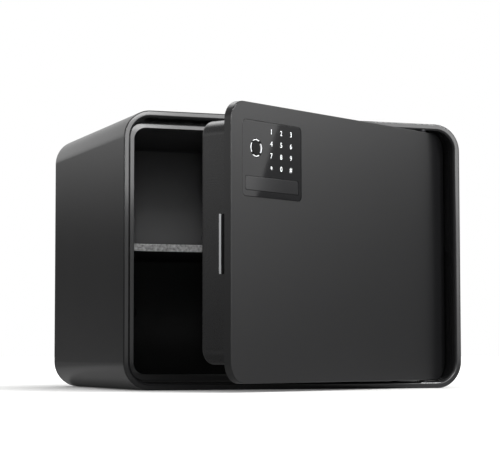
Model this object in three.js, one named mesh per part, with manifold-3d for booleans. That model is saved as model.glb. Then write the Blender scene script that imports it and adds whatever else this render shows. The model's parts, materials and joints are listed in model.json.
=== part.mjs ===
// A cabinet safe with rounded corners. Its door sits in a recess behind the front rim, turns on two
// upright pins and stands ajar. Behind the door plate a deep cover holds the bolt work and electronics.
// Millimetres. X runs to the right, Y from the front to the back, Z up. The origin is the middle of the
// footprint, on the floor. Door pieces are drawn closed: X from the door's left edge, Y from its face.

import * as THREE from 'three';
import { mergeVertices } from 'three/addons/utils/BufferGeometryUtils.js';
import Module from 'manifold-3d';

const wasm = await Module();
wasm.setup();

// Cabinet body
const width = 400;
const height = 300;
const depth = 292;
const cornerRadius = 30;
const casingWall = 2;
const backWall = 2;
const backFlange = 12;
const sheetFit = 0.05;
const linerWall = 1.2;
const linerRearSpace = 8.8;

// Front rim, its recess and the strike frame behind it
const rimBand = 4.8;
const rimLip = 2;
const rimChamfer = 0.8;
const recessDepth = 43.5;
const recessFloor = 1.5;
const lipSetback = 18.5;
const lipThickness = 3;
const lipInset = 10.2;
const lipWidth = 6.8;
const strikeWall = 1.5;
const strikeOverlap = 10;
const strikeSlotPlay = 1.3;
const swingClearance = 2;
const bumperRadius = 2.5;
const bumperPlay = 0.5;
const bumperFromPivot = 55;

// Anchor points
const anchorInset = 90;
const anchorHeight = 90;
const anchorBarrel = 6.8;
const anchorFlange = 10;
const anchorFlangeThickness = 1.4;
const anchorBore = 5;
const anchorSkin = 1.2;

// Shelf and mat
const shelfTop = 160;
const shelfThickness = 8;
const shelfFelt = 1.5;
const shelfSideGap = 1;
const shelfFrontGap = 2.4;
const shelfRearGap = 3;
const ledgeWall = 1.5;
const ledgeHeight = 14;
const ledgeReach = 13;
const ledgeSetback = 6;
const matThickness = 2.5;
const matFrontGap = 2;
const matRearGap = 2;
const matCorner = 6;

// Door plate and its pins
const openAngle = THREE.MathUtils.degToRad(30);
const doorGap = 4.4;
const doorThickness = 8.5;
const doorSheet = 2;
const backSheet = 1.5;
const doorTail = 36;
const pivotDepth = 5.4;
const fit = 0.3;
const pinRadius = 2;
const pinEngagement = 14;
const collarRadius = 5;
const shankRadius = 4;
const shankPlay = 0.1;
const blockWidth = 22;
const blockHeight = 26;

// Deep inner cover
const coverInset = 17;
const coverDepth = 45.5;
const coverCorner = 14;
const coverWall = 1.5;
const coverEdge = 4;
const postRadius = 4;
const postInset = 13;
const postShift = 98;
const screwRadius = 1.5;
const screwHead = 3.6;
const screwHeadHeight = 2;
const screwLength = 10;

// Bolt work
const boltBehind = 14.7;
const boltThickness = 2.7;
const boltHeight = 60;
const boltDrop = 1.8;
const boltProud = 4.6;
const boltThrow = 14;
const boltHeadLength = 45.6;
const boltTailLength = 68;
const rackRise = 20.8;
const gearModule = 0.8;
const pinionTeeth = 18;
const pressureAngle = THREE.MathUtils.degToRad(20);
const toothPlay = 0.1;
const pinionFromBolt = 87.6;
const pinionThickness = 2.3;
const driveShaft = 1.5;
const shaftPlay = 0.4;
const stopPin = 2;
const stopPinHead = 4;
const stopPinFromBolt = 59.6;
const stopPinDrop = 16.2;
const guideLength = 32;
const guideWidth = 7.6;
const guideLip = 4;
const guideWall = 2.2;
const slidePlay = 0.4;

// Mechanism plate
const mechSheet = 2;
const mechWidth = 129;
const mechAboveLock = 13;
const mechMargin = 2.5;
const mechDrop = 22;
const footRadius = 4;
const footInset = 8;
const upperFootDrop = 32;

// Motor and gearbox
const bracketWidth = 24;
const bracketReach = 10;
const bracketDrop = 20;
const bracketSheet = 1.4;
const bracketLeg = 2;
const gearboxWidth = 12;
const gearboxHeight = 10;
const gearboxLength = 9.5;
const gearboxBore = 4.5;
const motorLength = 12.7;

// Keypad panel, measured from the door's left and top edges
const panelLeft = 18.2;
const panelDrop = 18.3;
const panelWidth = 95.4;
const panelHeight = 76.7;
const panelCorner = 5;
const panelJoint = 0.4;
const glassSetback = 0.2;
const glassThickness = 1.8;
const housingSheet = 1.5;
const housingFlange = 3;
const housingInset = 3;
const housingCorner = 5;
const housingWall = 2;
const housingDepth = 12;
const boardThickness = 1.6;
const keypadBoardHeight = 50;

// Fingerprint reader
const ringFromLeft = 22;
const ringDrop = 27.3;
const ringOuter = 9.3;
const ringInner = 7.6;
const ringBase = 6.9;
const ringBaseThickness = 0.7;
const ringSetback = 0.3;
const arcAngle = THREE.MathUtils.degToRad(64);
const sensorRadius = 6.6;
const sensorSetback = 0.7;

// Cover strip, override lock and backup power port
const stripLeft = 4.8;
const stripBottom = 6.1;
const stripWidth = 86.2;
const stripHeight = 14.6;
const stripCorner = 1;
const pegRadius = 1.5;
const pegInset = 7;
const pegLength = 4.5;
const lockFromStrip = 62;
const lockRadius = 6.5;
const lockFlange = 7;
const lockFlangeThickness = 1.5;
const plugRadius = 4.4;
const keySlotWidth = 1.4;
const keySlotHeight = 7;
const keySlotDepth = 9;
const plugTail = 2.4;
const camThickness = 2;
const camWidth = 9;
const camLength = 24;
const portFromStrip = 28;
const portWidth = 12;
const portHeight = 5;
const portDepth = 8;
const portSlot = 5;
const portWall = 1.4;

// Control board, reset button and ribbon
const controlGap = 56;
const controlDrop = 24;
const controlSize = 80;
const controlFromCover = 7.5;
const bossRadius = 2.5;
const bossInset = 5;
const chipHeight = 2;
const chipSize = 12;
const chipPitch = 20;
const switchSize = 6;
const switchHeight = 3.2;
const switchFromCorner = 18;
const buttonRadius = 4;
const buttonFlange = 6;
const buttonFlangeThickness = 1.2;
const buttonProud = 1.5;
const buttonTravel = 1.5;
const ribbonWidth = 16;
const ribbonThickness = 0.8;
const ribbonFromTop = 7;

// Battery box
const batterySide = 68;
const batteryRise = 30;
const cellRadius = 7.1;
const cellLength = 50;
const cellPitch = 15;
const cellCount = 4;
const cellEndGap = 1.5;
const batteryWall = 1.5;
const lidInset = 0.5;
const gripLength = 20;
const gripWidth = 3;
const gripHeight = 1.2;

// Facets
const cornerSteps = 5;
const edgeSteps = 3;
const roundSteps = 24;

// Worked-out places in the cabinet
const recessEnd = recessDepth + recessFloor;
const linerInset = lipInset - linerWall;
const linerBack = depth - backWall - linerRearSpace - linerWall;
const strikeEnd = recessEnd + strikeOverlap;

// Worked-out places in the door
const doorInset = rimBand + doorGap;
const doorWidth = width - 2 * doorInset;
const doorBottom = doorInset;
const doorTop = height - doorInset;
const pivotX = width / 2 - doorInset - doorTail;
const pivotAlong = doorWidth - doorTail;
const coverFront = doorThickness + fit;
const coverBack = doorThickness + coverDepth;
const coverInside = coverBack - coverWall;
const coverLeft = coverInset;
const coverRight = doorWidth - coverInset;
const coverBottom = doorBottom + coverInset;
const coverTop = doorTop - coverInset;
const coverSwing = Math.hypot(doorTail - coverInset, coverBack - pivotDepth);
const shelfFront = pivotDepth + coverSwing + shelfFrontGap;
const boltFront = doorThickness + boltBehind;
const boltBack = boltFront + boltThickness;
const boltBottom = height / 2 - boltDrop - boltHeight / 2;
const boltTopEdge = boltBottom + boltHeight;
const boltLeft = coverInset - boltProud;
const mechBack = boltFront - fit;
const mechFront = mechBack - mechSheet;
const mechLeft = coverLeft + coverWall + mechMargin;
const mechBottom = boltBottom - mechDrop;
const pitchRadius = gearModule * pinionTeeth / 2;
const rackLine = boltBottom + rackRise;
const pinionAlong = boltLeft + pinionFromBolt;
const pinionHeight = rackLine - pitchRadius;
const panelTop = doorTop - panelDrop;
const panelBottom = panelTop - panelHeight;
const panelRight = panelLeft + panelWidth;
const glassBack = glassSetback + glassThickness;
const housingFront = doorSheet + fit;
const housingBack = housingFront + housingSheet;
const stripX = panelLeft + stripLeft;
const stripZ = panelBottom + stripBottom;
const stripMiddle = stripZ + stripHeight / 2;
const lockAlong = stripX + lockFromStrip;
const mechTop = stripMiddle + mechAboveLock;
const controlLeft = panelRight + controlGap;
const controlBottom = coverTop - controlDrop - controlSize;
const controlBack = coverInside - controlFromCover;
const controlFront = controlBack - boardThickness;

// Shapes and solids

function roundedRect(target, x0, y0, x1, y1, radius) {
  const r = Math.max(radius, 0.5);
  const quarter = Math.PI / 2;
  target.absarc(x1 - r, y0 + r, r, -quarter, 0, false);
  target.absarc(x1 - r, y1 - r, r, 0, quarter, false);
  target.absarc(x0 + r, y1 - r, r, quarter, 2 * quarter, false);
  target.absarc(x0 + r, y0 + r, r, 2 * quarter, 3 * quarter, false);
  return target;
}

// Extrudes an outline drawn in X and Z from y0 to y1.
function slab(shape, y0, y1, steps = cornerSteps) {
  const options = { depth: y1 - y0, bevelEnabled: false, curveSegments: steps };
  return new THREE.ExtrudeGeometry(shape, options).rotateX(Math.PI / 2).translate(0, y1, 0);
}

// The same, with both of its end edges rounded or chamfered by the given size within the outline.
function softSlab(shape, y0, y1, edge, edgeCount) {
  const options = { depth: y1 - y0 - 2 * edge, curveSegments: cornerSteps, bevelEnabled: true,
    bevelThickness: edge, bevelSize: edge, bevelOffset: -edge, bevelSegments: edgeCount };
  return new THREE.ExtrudeGeometry(shape, options).rotateX(Math.PI / 2).translate(0, y1 - edge, 0);
}

// Extrudes an outline drawn in X and Y from z0 to z1.
function upright(shape, z0, z1, steps = cornerSteps) {
  const options = { depth: z1 - z0, bevelEnabled: false, curveSegments: steps };
  return new THREE.ExtrudeGeometry(shape, options).translate(0, 0, z0);
}

function block(x0, x1, y0, y1, z0, z1) {
  const shape = new THREE.BoxGeometry(x1 - x0, y1 - y0, z1 - z0);
  return shape.translate((x0 + x1) / 2, (y0 + y1) / 2, (z0 + z1) / 2);
}

// A round bar along Y.
function bar(radius, x, z, y0, y1, steps = roundSteps) {
  return new THREE.CylinderGeometry(radius, radius, y1 - y0, steps).translate(x, (y0 + y1) / 2, z);
}

// A round bar along Z.
function post(radius, x, y, z0, z1, steps = roundSteps) {
  const shape = new THREE.CylinderGeometry(radius, radius, z1 - z0, steps).rotateX(Math.PI / 2);
  return shape.translate(x, y, (z0 + z1) / 2);
}

function solid(geometry) {
  const bare = geometry.clone();
  bare.deleteAttribute('normal');
  bare.deleteAttribute('uv');
  const merged = mergeVertices(bare, 1e-4);
  const vertProperties = new Float32Array(merged.attributes.position.array);
  const triVerts = new Uint32Array(merged.index.array);
  return new wasm.Manifold(new wasm.Mesh({ numProp: 3, vertProperties, triVerts }));
}

function join(first, ...others) {
  return others.reduce((sum, next) => sum.add(solid(next)), solid(first));
}

function cut(body, ...tools) {
  return tools.reduce((left, tool) => left.subtract(solid(tool)), body);
}

function geometryOf(body) {
  const mesh = body.getMesh();
  const geometry = new THREE.BufferGeometry();
  geometry.setAttribute('position', new THREE.BufferAttribute(mesh.vertProperties, 3));
  geometry.setIndex(new THREE.BufferAttribute(mesh.triVerts, 1));
  return geometry.toNonIndexed();
}

function piece(parent, name, shape, material) {
  const geometry = shape.isBufferGeometry ? shape : geometryOf(shape);
  geometry.computeVertexNormals();
  const mesh = new THREE.Mesh(geometry, material.clone());
  mesh.name = name;
  parent.add(mesh);
}

// Materials

function finish(color, roughness, metalness) {
  return new THREE.MeshStandardMaterial({ color, roughness, metalness });
}

const charcoalCoat = finish(0x2b2b2c, 0.5, 0.1);
const doorCoat = finish(0x343435, 0.42, 0.1);
const linerPaint = finish(0x303031, 0.6, 0);
const felt = finish(0x6b6b6b, 1, 0);
const matFelt = finish(0x1d1d1e, 1, 0);
const zincSteel = finish(0xb9bcbe, 0.35, 1);
const brightSteel = finish(0xd2d4d6, 0.25, 1);
const brass = finish(0xc2a257, 0.35, 1);
const blackPlastic = finish(0x1c1c1d, 0.5, 0);
const coverPlastic = finish(0x2a2a2b, 0.55, 0);
const darkGlass = finish(0x17181a, 0.08, 0);
const whiteLight = finish(0xf4f6f8, 0.4, 0);
const boardGreen = finish(0x1f5a39, 0.5, 0);
const rubber = finish(0x141414, 0.9, 0);
const cellWrap = finish(0x3a4148, 0.4, 0.3);
const ribbonGrey = finish(0x9a9ca0, 0.6, 0);
const resetRed = finish(0xb02a25, 0.45, 0);

// Cabinet

function cabinetOutline(inset, Kind = THREE.Shape) {
  const side = width / 2 - inset;
  return roundedRect(new Kind(), -side, inset, side, height - inset, cornerRadius - inset);
}

function cabinetRing(outer, inner, y0, y1) {
  const shape = cabinetOutline(outer);
  shape.holes.push(cabinetOutline(inner, THREE.Path));
  return slab(shape, y0, y1);
}

const anchorX = width / 2 - anchorInset;
const anchorSides = [['left', -anchorX], ['right', anchorX]];

function backAnchorHoles(radius, y0, y1) {
  return anchorSides.map(([, x]) => bar(radius, x, anchorHeight, y0, y1));
}

function baseAnchorHoles(radius, z0, z1) {
  return anchorSides.map(([, x]) => post(radius, x, depth / 2, z0, z1));
}

function outerCasing() {
  const shell = solid(cabinetRing(0, casingWall, rimLip, depth));
  return cut(shell, ...baseAnchorHoles(anchorBarrel + shankPlay, -1, casingWall + 1));
}

// A tray let into the back of the casing, its flange turned forward.
function backPanel() {
  const outer = casingWall + sheetFit;
  const plate = slab(cabinetOutline(outer), depth - backWall, depth);
  const flange = cabinetRing(outer, outer + backWall, depth - backFlange, depth);
  return cut(join(plate, flange), ...backAnchorHoles(anchorBarrel + shankPlay, depth - backFlange, depth + 1));
}

// The light band round the mouth, the recess wall behind it and the floor of the recess.
function frontRim() {
  const wallOuter = casingWall + sheetFit;
  const frame = cabinetOutline(0);
  frame.holes.push(cabinetOutline(rimBand, THREE.Path));
  const band = softSlab(frame, 0, rimLip + rimChamfer, rimChamfer, 1);
  const behind = cabinetRing(-1, casingWall + sheetFit, rimLip, rimLip + 2);
  const wall = cabinetRing(wallOuter, rimBand, rimChamfer, recessEnd);
  const floor = cabinetRing(wallOuter, lipInset, recessDepth, recessEnd);
  const hole = shankRadius + shankPlay;
  const bottomHole = post(hole, pivotX, pivotDepth, wallOuter, rimBand + 1);
  const topHole = post(hole, pivotX, pivotDepth, height - rimBand - 1, height - wallOuter);
  return cut(cut(solid(band), behind).add(join(wall, floor)), bottomHole, topHole);
}

// The lip that the bolt catches behind. It stops short of the swing of the door's tail.
function strikeFrame() {
  const lip = cabinetRing(lipInset, lipInset + lipWidth, lipSetback, lipSetback + lipThickness);
  const web = cabinetRing(lipInset, lipInset + strikeWall, lipSetback, strikeEnd);
  const end = pivotX - (doorThickness - pivotDepth) - swingClearance;
  const tailSwing = block(end, width, 0, depth, -1, height + 1);
  const slotSide = -width / 2 + lipInset;
  const slot = block(slotSide - 1, slotSide + strikeWall + 1, boltFront - strikeSlotPlay,
    boltBack + strikeSlotPlay, boltBottom - strikeSlotPlay, boltTopEdge + strikeSlotPlay);
  return cut(join(lip, web), tailSwing, slot);
}

function innerLiner() {
  const walls = cabinetRing(linerInset, lipInset, recessEnd, linerBack + linerWall);
  const back = slab(cabinetOutline(linerInset), linerBack, linerBack + linerWall);
  const hole = anchorBarrel + shankPlay;
  const backHoles = backAnchorHoles(hole, linerBack - 1, depth);
  const baseHoles = baseAnchorHoles(hole, 0, lipInset + 1);
  return cut(join(walls, back), ...backHoles, ...baseHoles);
}

// A flanged sleeve that bridges the two walls, closed by a thin skin that is knocked out for an anchor.
// Drawn along Y, with the flange at y = 0 and the barrel towards +Y.
function anchorGrommet(length) {
  const flange = bar(anchorFlange, 0, 0, -anchorFlangeThickness, 0);
  const barrel = bar(anchorBarrel, 0, 0, -anchorFlangeThickness, length);
  const bore = bar(anchorBore, 0, 0, anchorSkin - anchorFlangeThickness, length + 1);
  return geometryOf(cut(join(flange, barrel), bore));
}

function addAnchors(parent) {
  for (const [side, x] of anchorSides) {
    const backGrommet = anchorGrommet(depth - linerBack).translate(x, linerBack, anchorHeight);
    piece(parent, `back_anchor_grommet_${side}`, backGrommet, blackPlastic);
    const baseGrommet = anchorGrommet(lipInset).rotateX(-Math.PI / 2).translate(x, depth / 2, lipInset);
    piece(parent, `base_anchor_grommet_${side}`, baseGrommet, blackPlastic);
  }
}

function floorMat() {
  const side = width / 2 - cornerRadius;
  const shape = roundedRect(new THREE.Shape(), -side, strikeEnd + matFrontGap, side,
    linerBack - matRearGap, matCorner);
  const mat = solid(upright(shape, lipInset, lipInset + matThickness));
  return cut(mat, ...baseAnchorHoles(anchorFlange + 1, 0, lipInset + matThickness + 1));
}

// Shelf

function shelfSide() {
  return width / 2 - lipInset - shelfSideGap;
}

function shelfBoard() {
  const side = shelfSide();
  return block(-side, side, shelfFront + shelfFelt, linerBack - shelfRearGap,
    shelfTop - shelfThickness, shelfTop - shelfFelt);
}

// The felt is glued on the shelf's top and turned down over its front edge.
function shelfCovering() {
  const side = shelfSide();
  const top = block(-side, side, shelfFront, linerBack - shelfRearGap, shelfTop - shelfFelt, shelfTop);
  const front = block(-side, side, shelfFront, shelfFront + shelfFelt, shelfTop - shelfThickness, shelfTop);
  return join(top, front);
}

// An angle strip on the liner's left wall; the right one is its mirror image.
function shelfLedge(side) {
  const wall = width / 2 - lipInset;
  const y0 = shelfFront + ledgeSetback;
  const y1 = linerBack - ledgeSetback;
  const z1 = shelfTop - shelfThickness;
  const reach = (a, b) => (side < 0 ? [-b, -a] : [a, b]);
  const leg = block(...reach(wall - ledgeWall, wall), y0, y1, z1 - ledgeHeight, z1);
  const seat = block(...reach(wall - ledgeReach, wall), y0, y1, z1 - ledgeWall, z1);
  return join(leg, seat);
}

// Hinge pins and stops

// Shank in the rim, collar in the gap and pin in the door's block. The profile runs up from the tip.
function hingePin() {
  const tip = -(doorGap + pinEngagement);
  const collar = fit - doorGap;
  const shank = rimBand - casingWall - sheetFit;
  const profile = [[0, tip], [pinRadius, tip], [pinRadius, collar], [collarRadius, collar], [collarRadius, 0],
    [shankRadius, 0], [shankRadius, shank], [0, shank]];
  return new THREE.LatheGeometry(profile.map(([r, y]) => new THREE.Vector2(r, y)), roundSteps);
}

function addHingePins(parent) {
  const top = hingePin().rotateX(Math.PI / 2).translate(pivotX, pivotDepth, height - rimBand);
  piece(parent, 'hinge_pin_top', top, zincSteel);
  const bottom = hingePin().rotateX(-Math.PI / 2).translate(pivotX, pivotDepth, rimBand);
  piece(parent, 'hinge_pin_bottom', bottom, zincSteel);
}

function addStopBumpers(parent) {
  const middle = lipInset + lipWidth / 2;
  for (const [place, z] of [['bottom', middle], ['top', height - middle]]) {
    const bumper = bar(bumperRadius, pivotX - bumperFromPivot, z, doorThickness + bumperPlay, lipSetback);
    piece(parent, `stop_bumper_${place}`, bumper, rubber);
  }
}

// Door plate

function doorOutline(inset, Kind = THREE.Shape) {
  return roundedRect(new Kind(), inset, doorBottom + inset, doorWidth - inset, doorTop - inset,
    cornerRadius - doorInset - inset);
}

function doorRing(outer, inner, y0, y1) {
  const shape = doorOutline(outer);
  shape.holes.push(doorOutline(inner, THREE.Path));
  return slab(shape, y0, y1);
}

function panelOutline(inset, Kind = THREE.Shape) {
  return roundedRect(new Kind(), panelLeft + inset, panelBottom + inset, panelRight - inset,
    panelTop - inset, panelCorner - inset);
}

function pinBores(z0, z1) {
  return post(pinRadius + fit, pivotAlong, pivotDepth, z0, z1);
}

// The wall of the electronics housing, rounder than the panel so that it clears the cover's corner.
function housingOutline(inset, Kind = THREE.Shape) {
  const side = housingInset + inset;
  return roundedRect(new Kind(), panelLeft + side, panelBottom + side, panelRight - side,
    panelTop - side, housingCorner - inset);
}

// A pan: the face with its four edges turned back.
function doorFrontPlate() {
  const face = slab(doorOutline(0), 0, doorSheet);
  const edges = doorRing(0, doorSheet, 0, doorThickness);
  const panelHole = slab(panelOutline(-panelJoint), -1, doorSheet + 1);
  return cut(join(face, edges), panelHole, pinBores(doorBottom - 1, doorBottom + doorSheet + 1),
    pinBores(doorTop - doorSheet - 1, doorTop + 1));
}

function blockSpan(grow) {
  return [pivotAlong - blockWidth / 2 - grow, pivotAlong + blockWidth / 2 + grow];
}

function doorBackSheet() {
  const y0 = doorThickness - backSheet;
  const sheet = solid(slab(doorOutline(doorSheet + fit), y0, doorThickness));
  const electronics = slab(housingOutline(-fit), y0 - 1, doorThickness + 1);
  const notch = doorSheet + blockHeight + 2 * fit;
  const bottomNotch = block(...blockSpan(fit), y0 - 1, doorThickness + 1, doorBottom - 1, doorBottom + notch);
  const topNotch = block(...blockSpan(fit), y0 - 1, doorThickness + 1, doorTop - notch, doorTop + 1);
  return cut(sheet, electronics, bottomNotch, topNotch);
}

function addPivotBlocks(parent) {
  const low = doorBottom + doorSheet + fit;
  const high = doorTop - doorSheet - fit;
  for (const [place, z0, z1] of [['bottom', low, low + blockHeight], ['top', high - blockHeight, high]]) {
    const body = solid(block(...blockSpan(0), doorSheet + fit, doorThickness, z0, z1));
    piece(parent, `pivot_block_${place}`, cut(body, pinBores(z0 - 1, z1 + 1)), zincSteel);
  }
}

// Deep inner cover

function coverOutline(inset, Kind = THREE.Shape) {
  return roundedRect(new Kind(), coverLeft + inset, coverBottom + inset, coverRight - inset,
    coverTop - inset, coverCorner - inset);
}

// The upper left post stands clear of the keypad.
const coverPosts = [
  [coverLeft + postInset, coverBottom + postInset + 2],
  [coverRight - postInset, coverBottom + postInset + 2],
  [coverRight - postInset, coverTop - postInset - 2],
  [coverLeft + postInset + postShift, coverTop - postInset - 2],
];

const controlCorners = [
  [controlLeft + bossInset, controlBottom + bossInset],
  [controlLeft + controlSize - bossInset, controlBottom + bossInset],
  [controlLeft + controlSize - bossInset, controlBottom + controlSize - bossInset],
  [controlLeft + bossInset, controlBottom + controlSize - bossInset],
];

const buttonAlong = controlLeft + switchFromCorner;
const buttonHeight = controlBottom + switchFromCorner;
const batteryWidth = cellLength + 2 * cellEndGap + 2 * batteryWall;
const batteryHeight = cellPitch * cellCount + 2 * batteryWall + 1;
const batteryRight = coverRight - batterySide;
const batteryLeft = batteryRight - batteryWidth;
const batteryBottom = coverBottom + batteryRise;
const batteryTop = batteryBottom + batteryHeight;
const batteryBack = coverInside - fit;
const cellMiddle = batteryBack - 1.2 - cellRadius;
const batteryFront = cellMiddle - cellRadius - fit - batteryWall;

function doorInnerCover() {
  const shell = softSlab(coverOutline(0), 0, coverBack, coverEdge, edgeSteps);
  const room = softSlab(coverOutline(coverWall), 0, coverInside, coverEdge - coverWall, edgeSteps);
  const front = block(0, doorWidth, -1, coverFront, 0, height);
  const posts = coverPosts.map(([x, z]) => bar(postRadius, x, z, coverFront, coverBack));
  const bosses = controlCorners.map(([x, z]) => bar(bossRadius, x, z, controlBack + fit, coverBack));
  const boltSlot = block(coverLeft - 1, coverLeft + coverWall + 1, boltFront - slidePlay,
    boltBack + slidePlay, boltBottom - slidePlay, boltTopEdge + slidePlay);
  const window = block(batteryLeft + lidInset, batteryRight - lidInset, coverInside - 1, coverBack + 1,
    batteryBottom + lidInset, batteryTop - lidInset);
  const buttonHole = bar(buttonRadius + fit, buttonAlong, buttonHeight, coverInside - 1, coverBack + 1);
  const bores = coverPosts.map(([x, z]) => bar(screwRadius + fit, x, z, coverBack - screwLength - 1,
    coverBack + 1));
  const body = cut(solid(shell), room, front).add(join(...posts, ...bosses));
  return cut(body, boltSlot, window, buttonHole, ...bores);
}

function addCoverScrews(parent) {
  coverPosts.forEach(([x, z], index) => {
    const headStart = coverBack + fit;
    const head = bar(screwHead, x, z, headStart, headStart + screwHeadHeight);
    const shank = bar(screwRadius, x, z, coverBack - screwLength, headStart + 1);
    piece(parent, `cover_screw_${index + 1}`, join(head, shank), zincSteel);
  });
}

// Bolt work

const mechRight = mechLeft + mechWidth;

// Its four swaged feet stand on the back sheet.
function mechanismPlate() {
  const plate = block(mechLeft, mechRight, mechFront, mechBack, mechBottom, mechTop);
  const low = mechBottom + footInset;
  const high = mechTop - upperFootDrop;
  const places = [[mechLeft + footInset, low], [mechRight - footInset, low], [mechRight - footInset, high],
    [mechLeft + footInset, high]];
  const feet = places.map(([x, z]) => bar(footRadius, x, z, coverFront, mechBack - 1));
  const tailHole = bar(plugTail + shaftPlay, lockAlong, stripMiddle, mechFront - 1, mechBack + 1);
  const shaftHole = bar(driveShaft + shaftPlay, pinionAlong, pinionHeight, mechFront - 1, mechBack + 1);
  return cut(join(plate, ...feet), tailHole, shaftHole);
}

// One plate: a tall head that shows at the door's side and a lower tail with a rack under it.
function boltPlate() {
  const headEnd = boltLeft + boltHeadLength;
  const tailEnd = headEnd + boltTailLength;
  const pitch = Math.PI * gearModule;
  const half = pitch / 4 - toothPlay / 2;
  const slope = Math.tan(pressureAngle);
  const rootHeight = rackLine + 1.25 * gearModule;
  const tipHeight = rackLine - gearModule;
  const rootHalf = half + 1.25 * gearModule * slope;
  const tipHalf = half - gearModule * slope;
  const shape = new THREE.Shape();
  shape.moveTo(boltLeft, boltBottom);
  shape.lineTo(headEnd, boltBottom);
  shape.lineTo(headEnd, rootHeight);
  const before = Math.floor((pinionAlong - headEnd) / pitch - 1);
  const after = Math.floor((tailEnd - pinionAlong) / pitch - 1);
  for (let index = -before; index < after; index += 1) {
    const middle = pinionAlong + (index + 0.5) * pitch;
    shape.lineTo(middle - rootHalf, rootHeight);
    shape.lineTo(middle - tipHalf, tipHeight);
    shape.lineTo(middle + tipHalf, tipHeight);
    shape.lineTo(middle + rootHalf, rootHeight);
  }
  shape.lineTo(tailEnd, rootHeight);
  shape.lineTo(tailEnd, boltTopEdge);
  shape.lineTo(boltLeft, boltTopEdge);
  const slotHalf = stopPin + fit;
  const slotMiddle = boltTopEdge - stopPinDrop;
  const slotStart = boltLeft + stopPinFromBolt;
  const slot = roundedRect(new THREE.Path(), slotStart - slotHalf, slotMiddle - slotHalf,
    slotStart + boltThrow + slotHalf, slotMiddle + slotHalf, slotHalf - 0.1);
  shape.holes.push(slot);
  return slab(shape, boltFront, boltBack);
}

function boltStopPin() {
  const along = boltLeft + stopPinFromBolt;
  const middle = boltTopEdge - stopPinDrop;
  const neck = boltBack + fit;
  return join(bar(stopPin, along, middle, boltFront, neck + 1),
    bar(stopPinHead, along, middle, neck, neck + 1.4));
}

// A channel strip that holds one long edge of the bolt's head: direction +1 above it, -1 below it.
function boltGuide(direction) {
  const edge = direction > 0 ? boltTopEdge : boltBottom;
  const span = (a, b) => [edge + direction * a, edge + direction * b].sort((p, q) => p - q);
  const x0 = mechLeft;
  const x1 = mechLeft + guideLength;
  const spacer = block(x0, x1, boltFront, boltBack + fit + guideWall, ...span(slidePlay, guideWidth));
  const lip = block(x0, x1, boltBack + fit, boltBack + fit + guideWall, ...span(-guideLip, guideWidth));
  return join(spacer, lip);
}

// Involute teeth with radial flanks below the base circle. One tooth points straight up.
function pinionOutline() {
  const base = pitchRadius * Math.cos(pressureAngle);
  const tip = pitchRadius + gearModule;
  const root = pitchRadius - 1.25 * gearModule;
  const involute = (radius) => {
    const roll = Math.sqrt(Math.max((radius / base) ** 2 - 1, 0));
    return roll - Math.atan(roll);
  };
  const halfAtPitch = Math.PI / (2 * pinionTeeth) - toothPlay / (2 * pitchRadius);
  const halfAt = (radius) => halfAtPitch + involute(pitchRadius) - involute(Math.max(radius, base));
  const flank = [root, base, (base + pitchRadius) / 2, pitchRadius, (pitchRadius + tip) / 2, tip];
  const points = [];
  for (let tooth = 0; tooth < pinionTeeth; tooth += 1) {
    const middle = Math.PI / 2 + tooth * 2 * Math.PI / pinionTeeth;
    for (const radius of flank) {
      points.push([radius, middle - halfAt(radius)]);
    }
    for (const radius of [...flank].reverse()) {
      points.push([radius, middle + halfAt(radius)]);
    }
  }
  return new THREE.Shape(points.map(([radius, angle]) => (
    new THREE.Vector2(pinionAlong + radius * Math.cos(angle), pinionHeight + radius * Math.sin(angle)))));
}

const bracketFront = boltBack + 0.9;
const bracketBack = bracketFront + bracketSheet;
const gearboxFront = bracketBack + fit;
const gearboxBack = gearboxFront + gearboxLength;

function drivePinion() {
  const middle = (boltFront + boltBack) / 2;
  const gear = slab(pinionOutline(), middle - pinionThickness / 2, middle + pinionThickness / 2);
  const shaft = bar(driveShaft, pinionAlong, pinionHeight, mechFront + fit, gearboxFront + gearboxBore - 1);
  return join(gear, shaft);
}

function motorBracket() {
  const x0 = pinionAlong - bracketWidth / 2;
  const x1 = pinionAlong + bracketWidth / 2;
  const z0 = pinionHeight - bracketDrop;
  const plate = block(x0, x1, bracketFront, bracketBack, z0, pinionHeight + bracketReach);
  const leg = block(x0, x1, boltFront, bracketBack, z0, z0 + bracketLeg);
  return cut(join(plate, leg), bar(driveShaft + shaftPlay, pinionAlong, pinionHeight, boltFront,
    bracketBack + 1));
}

function gearboxCase() {
  const body = block(pinionAlong - gearboxWidth / 2, pinionAlong + gearboxWidth / 2, gearboxFront,
    gearboxBack, pinionHeight - gearboxHeight / 2, pinionHeight + gearboxHeight / 2);
  const bore = bar(driveShaft + fit, pinionAlong, pinionHeight, gearboxFront - 1, gearboxFront + gearboxBore);
  return cut(solid(body), bore);
}

// A round can with two flats, as wide as the gearbox.
function motorCan() {
  const y0 = gearboxBack + fit;
  const can = solid(bar(gearboxWidth / 2, pinionAlong, pinionHeight, y0, y0 + motorLength));
  const flats = block(pinionAlong - gearboxWidth, pinionAlong + gearboxWidth, y0 - 1, y0 + motorLength + 1,
    pinionHeight - gearboxHeight / 2, pinionHeight + gearboxHeight / 2);
  return can.intersect(solid(flats));
}

// Keypad panel

const pegPlaces = [stripX + pegInset, stripX + stripWidth - pegInset];
const ringAlong = panelLeft + ringFromLeft;
const ringHeight = panelTop - ringDrop;
const portAlong = stripX + portFromStrip;

function stripOutline(inset, Kind = THREE.Shape) {
  return roundedRect(new Kind(), stripX + inset, stripZ + inset, stripX + stripWidth - inset,
    stripZ + stripHeight - inset, stripCorner);
}

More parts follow.
